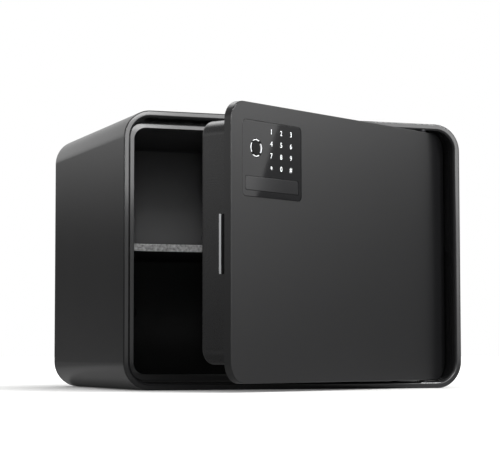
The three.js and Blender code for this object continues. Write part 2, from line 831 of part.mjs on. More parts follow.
// A flange behind the door's face and a wall round the electronics.
function keypadHousing() {
  const flange = slab(panelOutline(-housingFlange), housingFront, housingBack);
  const ring = housingOutline(0);
  ring.holes.push(housingOutline(housingWall, THREE.Path));
  const wall = slab(ring, housingFront, housingDepth);
  const lockHole = bar(lockRadius + shaftPlay, lockAlong, stripMiddle, 0, housingBack + 1);
  const portHole = block(portAlong - portWidth / 2 - fit, portAlong + portWidth / 2 + fit, 0,
    housingBack + 1, stripMiddle - portHeight / 2 - fit, stripMiddle + portHeight / 2 + fit);
  const pegHoles = pegPlaces.map((x) => bar(pegRadius + fit, x, stripMiddle, 0, housingBack + 1));
  return cut(join(flange, wall), lockHole, portHole, ...pegHoles);
}

function keypadGlass() {
  const shape = panelOutline(0);
  shape.holes.push(stripOutline(0, THREE.Path));
  const ringHole = bar(ringOuter + fit, ringAlong, ringHeight, 0, glassBack + 1);
  return cut(solid(slab(shape, glassSetback, glassBack)), ringHole);
}

function fingerprintSensor() {
  return bar(sensorRadius, ringAlong, ringHeight, sensorSetback, glassBack);
}

// A clear ring behind, with four raised arcs that shine through to the front.
function sensorLightRing() {
  const base = bar(ringOuter, ringAlong, ringHeight, glassBack - ringBaseThickness, glassBack);
  const arcs = [0, 1, 2, 3].map((turn) => {
    const start = turn * Math.PI / 2 - arcAngle / 2;
    const arc = new THREE.Shape();
    arc.absarc(ringAlong, ringHeight, ringOuter, start, start + arcAngle, false);
    arc.absarc(ringAlong, ringHeight, ringInner, start + arcAngle, start, true);
    return slab(arc, ringSetback, glassBack);
  });
  return cut(join(base, ...arcs), bar(ringBase, ringAlong, ringHeight, 0, glassBack + 1));
}

function keypadBoard() {
  const y0 = housingDepth + fit;
  const side = housingInset + fit;
  const shape = roundedRect(new THREE.Shape(), panelLeft + side, panelTop - side - keypadBoardHeight,
    panelRight - side, panelTop - side, housingCorner);
  return slab(shape, y0, y0 + boardThickness);
}

// The cover strip snaps on with two pegs.
function overrideCover() {
  const strip = slab(stripOutline(fit), glassSetback, glassBack);
  const pegs = pegPlaces.map((x) => bar(pegRadius, x, stripMiddle, glassSetback + 1, glassBack + pegLength));
  return join(strip, ...pegs);
}

function lockCylinder() {
  const flangeFront = housingBack + fit;
  const body = bar(lockRadius, lockAlong, stripMiddle, housingFront, mechFront - fit);
  const flange = bar(lockFlange, lockAlong, stripMiddle, flangeFront, flangeFront + lockFlangeThickness);
  return cut(join(body, flange), bar(plugRadius + fit, lockAlong, stripMiddle, 0, mechFront + 1));
}

const camFront = boltBack + 1.3;
const camBack = camFront + camThickness;

function keyPlug() {
  const plug = bar(plugRadius, lockAlong, stripMiddle, housingFront, mechFront - fit);
  const tail = bar(plugTail, lockAlong, stripMiddle, housingFront + 1, camBack + fit);
  const slot = block(lockAlong - keySlotWidth / 2, lockAlong + keySlotWidth / 2, housingFront - 1,
    housingFront + keySlotDepth, stripMiddle - keySlotHeight / 2, stripMiddle + keySlotHeight / 2);
  return cut(join(plug, tail), slot);
}

function keyCam() {
  const arm = roundedRect(new THREE.Shape(), lockAlong - camWidth / 2, stripMiddle - camWidth / 2,
    lockAlong + camLength, stripMiddle + camWidth / 2, camWidth / 2 - 0.1);
  return cut(solid(slab(arm, camFront, camBack)), bar(plugTail + fit, lockAlong, stripMiddle, camFront - 1,
    camBack + 1));
}

function backupPowerPort() {
  const halfWidth = portWidth / 2;
  const halfHeight = portHeight / 2;
  const body = solid(block(portAlong - halfWidth, portAlong + halfWidth, housingFront,
    housingFront + portDepth, stripMiddle - halfHeight, stripMiddle + halfHeight));
  const slot = block(portAlong - halfWidth + portWall, portAlong + halfWidth - portWall, housingFront - 1,
    housingFront + portSlot, stripMiddle - halfHeight + portWall, stripMiddle + halfHeight - portWall);
  return cut(body, slot);
}

// Control board, reset button and ribbon

function controlBoard() {
  const right = controlLeft + controlSize;
  const top = controlBottom + controlSize;
  const board = block(controlLeft, right, controlFront, controlBack, controlBottom, top);
  const chips = [0, 1].map((index) => {
    const z0 = controlBottom + chipPitch + index * chipPitch;
    const x0 = controlLeft + controlSize / 2;
    return block(x0, x0 + chipSize, controlFront - chipHeight, controlFront + 1, z0, z0 + chipSize);
  });
  const half = switchSize / 2;
  const resetSwitch = block(buttonAlong - half, buttonAlong + half, controlBack - 1,
    controlBack + switchHeight, buttonHeight - half, buttonHeight + half);
  return join(board, ...chips, resetSwitch);
}

function resetButton() {
  const inner = controlBack + switchHeight + buttonTravel + fit;
  return join(bar(buttonFlange, buttonAlong, buttonHeight, inner, inner + buttonFlangeThickness),
    bar(buttonRadius, buttonAlong, buttonHeight, inner, coverBack + buttonProud));
}

// A flat ribbon from the keypad's board to the control board, clear above the mechanism plate.
function ribbonCable() {
  const start = housingDepth + fit + boardThickness + fit + ribbonThickness / 2;
  const end = controlFront - fit - ribbonThickness / 2;
  const from = panelRight - ribbonWidth;
  const length = controlLeft + ribbonWidth - from;
  const steps = 24;
  const near = [];
  const far = [];
  for (let step = 0; step <= steps; step += 1) {
    const x = from + length * step / steps;
    const rise = THREE.MathUtils.smoothstep(x, panelRight + ribbonWidth / 2, controlLeft);
    const y = start + (end - start) * rise;
    near.push(new THREE.Vector2(x, y - ribbonThickness / 2));
    far.unshift(new THREE.Vector2(x, y + ribbonThickness / 2));
  }
  const top = controlBottom + controlSize - ribbonFromTop;
  return upright(new THREE.Shape([...near, ...far]), top - ribbonWidth, top);
}

// Battery box

function batteryBox() {
  const body = solid(block(batteryLeft, batteryRight, batteryFront, batteryBack, batteryBottom, batteryTop));
  const hollow = block(batteryLeft + batteryWall, batteryRight - batteryWall, batteryFront + batteryWall,
    batteryBack + 1, batteryBottom + batteryWall, batteryTop - batteryWall);
  return cut(body, hollow);
}

function addBatteryCells(parent) {
  const middle = (batteryLeft + batteryRight) / 2;
  const first = batteryBottom + batteryHeight / 2 - (cellCount - 1) * cellPitch / 2;
  for (let index = 0; index < cellCount; index += 1) {
    const cell = new THREE.CylinderGeometry(cellRadius, cellRadius, cellLength, roundSteps);
    cell.rotateZ(Math.PI / 2).translate(middle, cellMiddle, first + index * cellPitch);
    piece(parent, `battery_cell_${index + 1}`, cell, cellWrap);
  }
}

function batteryLid() {
  const inset = lidInset + fit;
  const middle = (batteryLeft + batteryRight) / 2;
  const high = (batteryBottom + batteryTop) / 2;
  const lid = block(batteryLeft + inset, batteryRight - inset, coverInside, coverBack,
    batteryBottom + inset, batteryTop - inset);
  const grip = block(middle - gripLength / 2, middle + gripLength / 2, coverBack - 1,
    coverBack + gripHeight, high - gripWidth / 2, high + gripWidth / 2);
  return join(lid, grip);
}

// Assembly

const safe = new THREE.Group();
const cabinet = new THREE.Group();
cabinet.position.y = -depth / 2;
safe.add(cabinet);

piece(cabinet, 'outer_casing', outerCasing(), charcoalCoat);
piece(cabinet, 'back_panel', backPanel(), charcoalCoat);
piece(cabinet, 'front_rim', frontRim(), charcoalCoat);
piece(cabinet, 'strike_frame', strikeFrame(), charcoalCoat);
piece(cabinet, 'inner_liner', innerLiner(), linerPaint);
piece(cabinet, 'floor_mat', floorMat(), matFelt);
piece(cabinet, 'shelf_board', shelfBoard(), linerPaint);
piece(cabinet, 'shelf_felt', shelfCovering(), felt);
piece(cabinet, 'shelf_ledge_left', shelfLedge(-1), linerPaint);
piece(cabinet, 'shelf_ledge_right', shelfLedge(1), linerPaint);
addAnchors(cabinet);
addHingePins(cabinet);
addStopBumpers(cabinet);

const hung = new THREE.Group();
hung.position.set(pivotX, pivotDepth, 0);
hung.rotation.z = openAngle;
cabinet.add(hung);

const door = new THREE.Group();
door.position.set(-pivotAlong, -pivotDepth, 0);
hung.add(door);

piece(door, 'door_front_plate', doorFrontPlate(), doorCoat);
piece(door, 'door_back_sheet', doorBackSheet(), doorCoat);
addPivotBlocks(door);
piece(door, 'door_inner_cover', doorInnerCover(), coverPlastic);
addCoverScrews(door);
piece(door, 'mechanism_plate', mechanismPlate(), zincSteel);
piece(door, 'bolt_plate', boltPlate(), brightSteel);
piece(door, 'bolt_stop_pin', boltStopPin(), zincSteel);
piece(door, 'bolt_guide_upper', boltGuide(1), zincSteel);
piece(door, 'bolt_guide_lower', boltGuide(-1), zincSteel);
piece(door, 'drive_pinion', drivePinion(), brass);
piece(door, 'motor_bracket', motorBracket(), zincSteel);
piece(door, 'gearbox_case', gearboxCase(), brass);
piece(door, 'motor_can', motorCan(), zincSteel);
piece(door, 'keypad_housing', keypadHousing(), blackPlastic);
piece(door, 'keypad_glass', keypadGlass(), darkGlass);
piece(door, 'fingerprint_sensor', fingerprintSensor(), blackPlastic);
piece(door, 'sensor_light_ring', sensorLightRing(), whiteLight);
piece(door, 'keypad_board', keypadBoard(), boardGreen);
piece(door, 'override_cover', overrideCover(), darkGlass);
piece(door, 'lock_cylinder', lockCylinder(), brass);
piece(door, 'key_plug', keyPlug(), zincSteel);
piece(door, 'key_cam', keyCam(), zincSteel);
piece(door, 'backup_power_port', backupPowerPort(), blackPlastic);
piece(door, 'control_board', controlBoard(), boardGreen);
piece(door, 'reset_button', resetButton(), resetRed);
piece(door, 'ribbon_cable', ribbonCable(), ribbonGrey);
piece(door, 'battery_box', batteryBox(), blackPlastic);
addBatteryCells(door);
piece(door, 'battery_lid', batteryLid(), coverPlastic);

export default safe;
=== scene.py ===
import json
import math

import bpy
from mathutils import Matrix, Vector


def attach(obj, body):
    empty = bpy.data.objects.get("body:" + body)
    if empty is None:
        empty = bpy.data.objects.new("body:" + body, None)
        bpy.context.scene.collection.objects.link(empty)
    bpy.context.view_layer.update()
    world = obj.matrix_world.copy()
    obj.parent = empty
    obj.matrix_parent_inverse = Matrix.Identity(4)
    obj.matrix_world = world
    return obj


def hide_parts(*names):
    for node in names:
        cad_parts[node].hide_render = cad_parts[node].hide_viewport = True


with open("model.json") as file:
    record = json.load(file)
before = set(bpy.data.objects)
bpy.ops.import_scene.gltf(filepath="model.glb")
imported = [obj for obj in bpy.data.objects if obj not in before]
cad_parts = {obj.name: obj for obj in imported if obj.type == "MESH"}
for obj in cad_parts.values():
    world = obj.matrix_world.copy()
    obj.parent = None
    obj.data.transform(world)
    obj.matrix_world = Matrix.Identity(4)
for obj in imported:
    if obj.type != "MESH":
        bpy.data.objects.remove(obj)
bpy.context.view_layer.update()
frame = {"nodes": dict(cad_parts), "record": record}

# A rounded cabinet safe with its recessed door ajar. Sizes below are millimetres; the scene is in metres.
# Cabinet pieces are measured from the front plane, door pieces from the closed door's left edge and face.
mm = 0.001
frontPlane = -146
doorHinge = {"x": 154.8, "y": 5.4, "along": 345.6, "angle": 30}

doorPlace = (
    Matrix.Translation((doorHinge["x"] * mm, (frontPlane + doorHinge["y"]) * mm, 0))
    @ Matrix.Rotation(math.radians(doorHinge["angle"]), 4, "Z")
    @ Matrix.Translation((-doorHinge["along"] * mm, -doorHinge["y"] * mm, 0))
)
cabinetPlace = Matrix.Translation((0, frontPlane * mm, 0))

# Faces and edges are picked by their place and normal, within these.
close = 0.01
slack = 0.05
loose = 0.1
facing = 0.9
roundSides = 48  # how many sides a round bar has
smoothBelow = 35  # degrees: faces that meet at less than this are shaded as one surface


# Modelling helpers

def hold(piece):
    bpy.ops.object.select_all(action="DESELECT")
    piece.select_set(True)
    bpy.context.view_layer.objects.active = piece


def leaveEdit():
    bpy.ops.object.mode_set(mode="OBJECT")


def editWhole(piece):
    hold(piece)
    bpy.ops.object.mode_set(mode="EDIT")
    bpy.ops.mesh.select_all(action="SELECT")


def choose(piece, what, test):
    # goes into edit mode with only the faces, edges or points that pass the test selected
    hold(piece)
    bpy.ops.object.mode_set(mode="EDIT")
    bpy.ops.mesh.select_mode(type=what)
    bpy.ops.mesh.select_all(action="DESELECT")
    leaveEdit()
    mesh = piece.data
    if what == "FACE":
        for face in mesh.polygons:
            face.select = test(face.center / mm, face.normal)
    elif what == "EDGE":
        for edge in mesh.edges:
            ends = [mesh.vertices[i].co / mm for i in edge.vertices]
            edge.select = test(ends[0], ends[1])
    else:
        for point in mesh.vertices:
            point.select = test(point.co / mm)
    bpy.ops.object.mode_set(mode="EDIT")


def everyFace(middle, normal):
    return True


def insetOf(point, box, radius):
    # how far a point lies inside a rounded outline: box is (left, right, bottom, top)
    x = abs(point.x - (box[0] + box[1]) / 2) - (box[1] - box[0]) / 2
    z = abs(point.z - (box[2] + box[3]) / 2) - (box[3] - box[2]) / 2
    if x > -radius and z > -radius:
        return radius - math.hypot(x + radius, z + radius)
    return min(-x, -z)


def edgesAt(y):
    # a test for the edges that lie at one depth
    return lambda a, b: abs(a.y - y) < close and abs(b.y - y) < close


def outlineEdges(y, box, radius, inset=0):
    # a test for the edges at one depth that run round a rounded outline, or a distance inside it
    def on(point):
        return abs(point.y - y) < close and abs(insetOf(point, box, radius) - inset) < loose
    return lambda a, b: on(a) and on(b)


def shrunk(box, by):
    return tuple(side + sign * by for side, sign in zip(box, (1, -1, 1, -1)))


def settled(name):
    # the new primitive gets its name, and its place and size go into its mesh
    piece = bpy.context.active_object
    piece.name = name
    bpy.ops.object.transform_apply(location=True, rotation=True, scale=True)
    return piece


def roundedSheet(name, box, y, radius, steps):
    # a flat sheet that faces the front, with round corners
    left, right, bottom, top = [v * mm for v in box]
    bpy.ops.object.select_all(action="DESELECT")
    bpy.ops.mesh.primitive_plane_add(size=1, rotation=(math.pi / 2, 0, 0),
                                     location=((left + right) / 2, y * mm, (bottom + top) / 2))
    bpy.context.active_object.scale = (right - left, top - bottom, 1)
    piece = settled(name)
    editWhole(piece)
    bpy.ops.mesh.bevel(offset=radius * mm, segments=steps, profile=0.5, affect="VERTICES")
    leaveEdit()
    return piece


def pull(y):
    # extrudes what is selected towards the back, in edit mode
    bpy.ops.mesh.extrude_region_move(TRANSFORM_OT_translate={"value": (0, y * mm, 0)})


def block(name, box, y0, y1):
    left, right, bottom, top = [v * mm for v in box]
    bpy.ops.object.select_all(action="DESELECT")
    bpy.ops.mesh.primitive_cube_add(
        size=1, location=((left + right) / 2, (y0 + y1) / 2 * mm, (bottom + top) / 2))
    bpy.context.active_object.scale = (right - left, (y1 - y0) * mm, top - bottom)
    return settled(name)


def rod(name, radius, x, z, y0, y1, sides=roundSides):
    # a round bar from front to back
    bpy.ops.object.select_all(action="DESELECT")
    bpy.ops.mesh.primitive_cylinder_add(vertices=sides, radius=radius * mm, depth=(y1 - y0) * mm,
                                        location=(x * mm, (y0 + y1) / 2 * mm, z * mm),
                                        rotation=(math.pi / 2, 0, 0))
    return settled(name)


def upright(name, radius, x, y, z0, z1):
    # a round bar that stands up
    bpy.ops.object.select_all(action="DESELECT")
    bpy.ops.mesh.primitive_cylinder_add(vertices=roundSides, radius=radius * mm, depth=(z1 - z0) * mm,
                                        location=(x * mm, y * mm, (z0 + z1) / 2 * mm))
    return settled(name)


def applied(piece, kind, **settings):
    hold(piece)
    modifier = piece.modifiers.new(kind.lower(), kind)
    for key, value in settings.items():
        setattr(modifier, key, value)
    bpy.ops.object.modifier_apply(modifier=modifier.name)


def thickened(piece, wall):
    applied(piece, "SOLIDIFY", thickness=wall * mm, offset=-1.0)


def cutAway(piece, *tools):
    for tool in tools:
        applied(piece, "BOOLEAN", operation="DIFFERENCE", solver="EXACT", object=tool)
        bpy.data.objects.remove(tool, do_unlink=True)


def cleared(piece, test):
    # deletes the faces that pass the test
    choose(piece, "FACE", test)
    bpy.ops.mesh.delete(type="FACE")
    leaveEdit()


def faceOut(piece, inwards=False):
    editWhole(piece)
    bpy.ops.mesh.normals_make_consistent(inside=inwards)
    leaveEdit()


def faceFront(piece, y):
    # turns an open sheet's normals so that its face at depth y looks to the front
    faceOut(piece)
    total = sum(f.normal.y for f in piece.data.polygons if abs(f.center.y / mm - y) < slack)
    if total > 0:
        editWhole(piece)
        bpy.ops.mesh.flip_normals()
        leaveEdit()


def bevelled(piece, width, segments, test):
    choose(piece, "EDGE", test)
    bpy.ops.mesh.bevel(offset=width * mm, segments=segments, profile=0.5, affect="EDGES")
    leaveEdit()


def leanOut(piece, box, radius, edge, depth, lean):
    # sets a flat band's outer edge back a little, so that the whole band leans outwards
    choose(piece, "VERT", lambda p: p.y < depth and insetOf(p, box, radius) < edge + slack)
    bpy.ops.transform.translate(value=(0, lean * mm, 0))
    leaveEdit()


def roundedSlab(name, box, y, thick, radius, steps):
    slab = roundedSheet(name, box, y, radius, steps)
    choose(slab, "FACE", everyFace)
    pull(thick)
    leaveEdit()
    faceOut(slab)
    return slab


def openTray(name, c):
    # a tray that is open to the front, folded round at its back
    tray = roundedSheet(name, c["box"], c["front"], c["corner"], c["steps"])
    choose(tray, "FACE", everyFace)
    pull(c["back"] - c["front"])
    leaveEdit()
    cleared(tray, lambda middle, normal: abs(middle.y - c["front"]) < loose)
    bevelled(tray, c["fold"], c["foldSteps"], edgesAt(c["back"]))
    faceOut(tray)
    thickened(tray, c["wall"])
    return tray


def joined(pieces):
    hold(pieces[0])
    for piece in pieces[1:]:
        piece.select_set(True)
    bpy.ops.object.join()
    return pieces[0]


def place(piece, matrix):
    piece.matrix_world = matrix @ piece.matrix_world
    hold(piece)
    bpy.ops.object.transform_apply(location=True, rotation=True, scale=True)


def finish(piece, material, body, nodes=()):
    hold(piece)
    piece.data.materials.clear()
    piece.data.materials.append(material)
    bpy.ops.object.shade_smooth_by_angle(angle=math.radians(smoothBelow))
    applied(piece, "WEIGHTED_NORMAL", keep_sharp=True)  # keeps the flats flat beside their small edges
    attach(piece, body)
    if nodes:
        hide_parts(*nodes)
    return piece


# Materials

def toLinear(hexValue):
    # sRGB hex to the linear colour that the shader takes
    parts = [int(hexValue[i:i + 2], 16) / 255 for i in (1, 3, 5)]
    return [v / 12.92 if v <= 0.04045 else ((v + 0.055) / 1.055) ** 2.4 for v in parts] + [1.0]


def add(tree, kind, settings=None, **links):
    # one node, its settings, and links given as input=(node, output)
    node = tree.nodes.new(kind)
    for key, value in (settings or {}).items():
        if key in node.inputs:
            node.inputs[key].default_value = value
        else:
            setattr(node, key, value)
    for key, (source, output) in links.items():
        tree.links.new(source.outputs[output], node.inputs[key.replace("_", " ")])
    return node


def blankMaterial(name):
    material = bpy.data.materials.new(name)
    material.use_nodes = True
    tree = material.node_tree
    tree.nodes.clear()
    return material, tree


def paintLike(name, look):
    # colour that drifts a little, a fine bumpy skin and roughness that varies with it
    material, tree = blankMaterial(name)
    spot = add(tree, "ShaderNodeTexCoord")
    grain = add(tree, "ShaderNodeTexNoise", {"Scale": 1000 / look["grain"], "Detail": 3.0, "Roughness": 0.55},
                Vector=(spot, "Object"))
    drift = add(tree, "ShaderNodeTexNoise", {"Scale": 1000 / look["drift"], "Detail": 2.0},
                Vector=(spot, "Object"))
    tint = add(tree, "ShaderNodeValToRGB", Fac=(drift, "Fac"))
    tint.color_ramp.elements[0].position = 0.3
    tint.color_ramp.elements[0].color = toLinear(look["dark"])
    tint.color_ramp.elements[1].position = 0.7
    tint.color_ramp.elements[1].color = toLinear(look["light"])
    rough = add(tree, "ShaderNodeMapRange", {"To Min": look["rough"] - look["roughDrift"],
                                             "To Max": look["rough"] + look["roughDrift"]},
                Value=(grain, "Fac"))
    bump = add(tree, "ShaderNodeBump", {"Strength": look["bump"], "Distance": look["grain"] * mm * 0.1},
               Height=(grain, "Fac"))
    skin = add(tree, "ShaderNodeBsdfPrincipled", {"IOR": look.get("ior", 1.5)},
               Base_Color=(tint, "Color"), Roughness=(rough, "Result"), Normal=(bump, "Normal"))
    if "coat" in look:
        skin.inputs["Coat Weight"].default_value = look["coat"]
        skin.inputs["Coat Roughness"].default_value = look["coatRough"]
    if "sheen" in look:
        skin.inputs["Sheen Weight"].default_value = look["sheen"]
        skin.inputs["Sheen Roughness"].default_value = 0.5
    add(tree, "ShaderNodeOutputMaterial", Surface=(skin, "BSDF"))
    return material


# How much smoother and rougher than its mean a metal gets, and how deep its scratches are in millimetres.
scratch = {"smoother": 0.06, "rougher": 0.08, "depth": 0.05}


def brushedMetal(name, look):
    # a fine grain, drawn out into scratches where stretch says so; the mapping turns with the open door
    material, tree = blankMaterial(name)
    spot = add(tree, "ShaderNodeTexCoord")
    turn = add(tree, "ShaderNodeMapping", {"Rotation": (0, 0, math.radians(-doorHinge["angle"]))},
               Vector=(spot, "Object"))
    stretch = add(tree, "ShaderNodeMapping", {"Scale": look["stretch"]}, Vector=(turn, "Vector"))
    lines = add(tree, "ShaderNodeTexNoise", {"Scale": 1000 / look["grain"], "Detail": 2.0},
                Vector=(stretch, "Vector"))
    tint = add(tree, "ShaderNodeValToRGB", Fac=(lines, "Fac"))
    tint.color_ramp.elements[0].color = toLinear(look["dark"])
    tint.color_ramp.elements[1].color = toLinear(look["light"])
    rough = add(tree, "ShaderNodeMapRange", {"To Min": look["rough"] - scratch["smoother"],
                                             "To Max": look["rough"] + scratch["rougher"]},
                Value=(lines, "Fac"))
    bump = add(tree, "ShaderNodeBump", {"Strength": look["bump"], "Distance": scratch["depth"] * mm},
               Height=(lines, "Fac"))
    skin = add(tree, "ShaderNodeBsdfPrincipled", {"Metallic": 1.0}, Base_Color=(tint, "Color"),
               Roughness=(rough, "Result"), Normal=(bump, "Normal"))
    add(tree, "ShaderNodeOutputMaterial", Surface=(skin, "BSDF"))
    return material


printPatch = 4  # millimetres


def litPrint(name, colour, glow):
    # white print that the backlight shines through, a little uneven from patch to patch
    material, tree = blankMaterial(name)
    spot = add(tree, "ShaderNodeTexCoord")
    patches = add(tree, "ShaderNodeTexNoise", {"Scale": 1000 / printPatch}, Vector=(spot, "Object"))
    tint = add(tree, "ShaderNodeValToRGB", Fac=(patches, "Fac"))
    tint.color_ramp.elements[0].color = toLinear("#e9edf0")
    tint.color_ramp.elements[1].color = toLinear(colour)
    skin = add(tree, "ShaderNodeBsdfPrincipled", {"Roughness": 0.4, "Emission Strength": glow},
               Base_Color=(tint, "Color"), Emission_Color=(tint, "Color"))
    add(tree, "ShaderNodeOutputMaterial", Surface=(skin, "BSDF"))
    return material


# Polyester powder coat on steel: a satin skin with a very fine orange peel, drawn at 1.2 mm so that it shows.
powderCoat = paintLike("charcoal_powder_coat", {
    "dark": "#1f1f20", "light": "#222223", "grain": 1.2, "drift": 90,
    "rough": 0.2, "roughDrift": 0.03, "bump": 0.06})
# The rim is sprayed smoother, so it mirrors the lights' edges.
rimCoat = paintLike("charcoal_smooth_rim_coat", {
    "dark": "#242425", "light": "#262627", "grain": 1.6, "drift": 70,
    "rough": 0.1, "roughDrift": 0.015, "bump": 0.02})
# The door's powder coat is duller, and its darker tone is painted shade: it takes most of its grey from what
# stands in front of it.
doorCoatShaded = paintLike("charcoal_door_coat_painted_shade", {
    "dark": "#131314", "light": "#151516", "grain": 1.0, "drift": 110,
    "rough": 0.3, "roughDrift": 0.03, "bump": 0.06})
# Grey baked enamel inside: flatter than the outside, so it only glows softly.
linerEnamel = paintLike("grey_baked_enamel", {
    "dark": "#404041", "light": "#464647", "grain": 1.4, "drift": 60,
    "rough": 0.55, "roughDrift": 0.05, "bump": 0.12})
# Moulded ABS with a spark-eroded grain, about 0.4 mm, drawn at 0.8 mm so that it shows.
moulded = paintLike("grained_moulded_abs", {
    "dark": "#19191a", "light": "#1d1d1e", "grain": 0.8, "drift": 50,
    "rough": 0.28, "roughDrift": 0.05, "bump": 0.12})
# The same grain cut deeper, for small housings and grommets: nearly matt.
blackMoulded = paintLike("black_moulded_abs", {
    "dark": "#161617", "light": "#1b1b1c", "grain": 0.8, "drift": 40,
    "rough": 0.48, "roughDrift": 0.06, "bump": 0.2})
# Black rubber: matt, with a dusty variation.
rubberBlack = paintLike("moulded_black_rubber", {
    "dark": "#121212", "light": "#1a1a1a", "grain": 1.2, "drift": 8,
    "rough": 0.85, "roughDrift": 0.06, "bump": 0.25})
# Red ABS of the button: an even signal colour under a soft gloss.
redMoulded = paintLike("red_moulded_abs", {
    "dark": "#9c231d", "light": "#a92a23", "grain": 0.8, "drift": 10,
    "rough": 0.4, "roughDrift": 0.05, "bump": 0.15})
# Solder mask over copper: green lacquer that rises and falls with the tracks, about 2 mm apart.
solderMask = paintLike("green_solder_mask", {
    "dark": "#174a2e", "light": "#1f5a39", "grain": 2.2, "drift": 9,
    "rough": 0.38, "roughDrift": 0.08, "bump": 0.3})
# PVC sleeve shrunk onto the cells: dark and tight, with a clear gloss on top.
shrinkSleeve = paintLike("dark_shrink_sleeve", {
    "dark": "#31383f", "light": "#3c444b", "grain": 3.0, "drift": 14,
    "rough": 0.3, "roughDrift": 0.05, "bump": 0.1, "coat": 0.4, "coatRough": 0.15})
# PVC round the ribbon's wires, whose pitch of 1.27 mm sets the size of its unevenness.
ribbonJacket = paintLike("grey_ribbon_jacket", {
    "dark": "#8d9094", "light": "#a2a5a9", "grain": 1.27, "drift": 1.27,
    "rough": 0.5, "roughDrift": 0.05, "bump": 0.4})
# Needled felt: short fibres give it a soft bright rim and no gloss.
matFelt = paintLike("black_needled_felt", {
    "dark": "#0c0c0c", "light": "#1a1a1a", "grain": 1.2, "drift": 3,
    "rough": 0.95, "roughDrift": 0.03, "bump": 0.9, "sheen": 0.3})
# Flocked felt on the shelf: speckled light grey, its tufts drawn at 1.6 mm so that they show.
shelfFelt = paintLike("grey_flocked_felt", {
    "dark": "#787878", "light": "#cacaca", "grain": 1.6, "drift": 3.2,
    "rough": 0.92, "roughDrift": 0.05, "bump": 1.0, "sheen": 0.4})
# The keypad's front is a hard-coated panel, dark printed from behind: colour under a clear mirror.
hardGlass = paintLike("back_printed_hard_panel", {
    "dark": "#1a1a1b", "light": "#1c1c1d", "grain": 3.0, "drift": 60,
    "rough": 0.03, "roughDrift": 0.005, "bump": 0.008, "ior": 1.42})
# The sensor's window is smoked plastic with a matt coat that stops most reflections.
sensorGlass = paintLike("matt_smoked_sensor_window", {
    "dark": "#151515", "light": "#191919", "grain": 1.0, "drift": 4,
    "rough": 0.5, "roughDrift": 0.04, "bump": 0.1, "ior": 1.22})
# The strip under the keys is satin plastic: it blurs what the panel round it mirrors.
stripPlastic = paintLike("satin_strip_plastic", {
    "dark": "#242425", "light": "#262627", "grain": 1.0, "drift": 30,
    "rough": 0.09, "roughDrift": 0.015, "bump": 0.03})
# Zinc plate on steel: bright grey with a fine crystalline grain.
zincPlate = brushedMetal("zinc_plated_steel", {
    "dark": "#a3a7aa", "light": "#c4c7c9", "grain": 1.2, "rough": 0.36, "bump": 0.15, "stretch": (1, 1, 1)})
# Black zinc passivate: dark, with the same fine plated grain.
blackZinc = brushedMetal("black_zinc_plated_steel", {
    "dark": "#2a2a2b", "light": "#38383a", "grain": 1.2, "rough": 0.4, "bump": 0.15, "stretch": (1, 1, 1)})
# Ground steel of the bolt: scratches along its height draw the highlight out.
groundSteel = brushedMetal("ground_bright_steel", {
    "dark": "#c3c5c7", "light": "#dddfe0", "grain": 0.8, "rough": 0.3, "bump": 0.2, "stretch": (1, 1, 0.03)})
# Turned brass: warm yellow, with fine tool marks round it.
turnedBrass = brushedMetal("turned_brass", {
    "dark": "#a98a45", "light": "#c6a65c", "grain": 0.9, "rough": 0.32, "bump": 0.15, "stretch": (1, 0.1, 1)})
# White screen print over the backlight: the keys' digits glow a little more than the reader's ring.
lightPrint = litPrint("backlit_white_print", "#ffffff", 0.55)
ringPrint = litPrint("backlit_ring_print", "#ffffff", 0.4)
print("materials ready")


# Camera

# The focal length was measured in the photograph's pixels; place in millimetres, angles in degrees.
camera = {"focal": 1777.36, "photoWidth": 500, "film": 36.0, "yaw": 20.669, "pitch": 4.188, "roll": -0.072,
          "x": -739.99, "y": -1957.02, "z": 37.42, "nearest": 20}


def makeCamera():
    c = camera
    bpy.ops.object.camera_add(location=(c["x"] * mm, c["y"] * mm, c["z"] * mm))
    eye = bpy.context.active_object
    eye.data.sensor_width = c["film"]
    eye.data.lens = c["focal"] * c["film"] / c["photoWidth"]
    turn = Matrix.Rotation(math.radians(-c["yaw"]), 4, "Z")
    tilt = Matrix.Rotation(math.radians(90 + c["pitch"]), 4, "X")
    roll = Matrix.Rotation(math.radians(c["roll"]), 4, "Z")
    eye.matrix_world = Matrix.Translation(eye.location) @ turn @ tilt @ roll
    eye.data.clip_start = c["nearest"] * mm
    bpy.context.scene.camera = eye


makeCamera()


# Cabinet

cabinet = {"box": (-200, 200, 0, 300), "depth": 292, "corner": 30, "steps": 20, "wall": 2, "casingEdge": 0.35,
           "band": 4.8, "roundOver": 2.8, "bandDepth": 2, "outerEdge": 1.2, "lean": 0.19, "leanDepth": 1.7,
           "channelDepth": 43.5, "channelFloor": 2.6, "rimSheet": 1.4,
           "anchorX": 110, "anchorRadius": 6.9, "anchorDrill": (-2, 4)}


def anchorPlaces():
    return (-cabinet["anchorX"], cabinet["anchorX"])


def makeCasing():
    c = cabinet
    shell = roundedSheet("casingShell", c["box"], c["bandDepth"], c["corner"], c["steps"])
    choose(shell, "FACE", everyFace)
    pull(c["depth"] - c["bandDepth"])
    leaveEdit()
    cleared(shell, lambda middle, normal: abs(normal.y) > facing)
    faceOut(shell)
    rightSide = max(shell.data.polygons, key=lambda face: face.center.x)
    if rightSide.normal.x < 0:
        faceOut(shell, inwards=True)
    thickened(shell, c["wall"])
    bevelled(shell, c["casingEdge"], 2, outlineEdges(c["bandDepth"], c["box"], c["corner"]))
    cutAway(shell, *[upright("anchorDrill", c["anchorRadius"], x, c["depth"] / 2, *c["anchorDrill"])
                     for x in anchorPlaces()])
    place(shell, cabinetPlace)
    return finish(shell, powderCoat, "cabinet", ["outer_casing"])


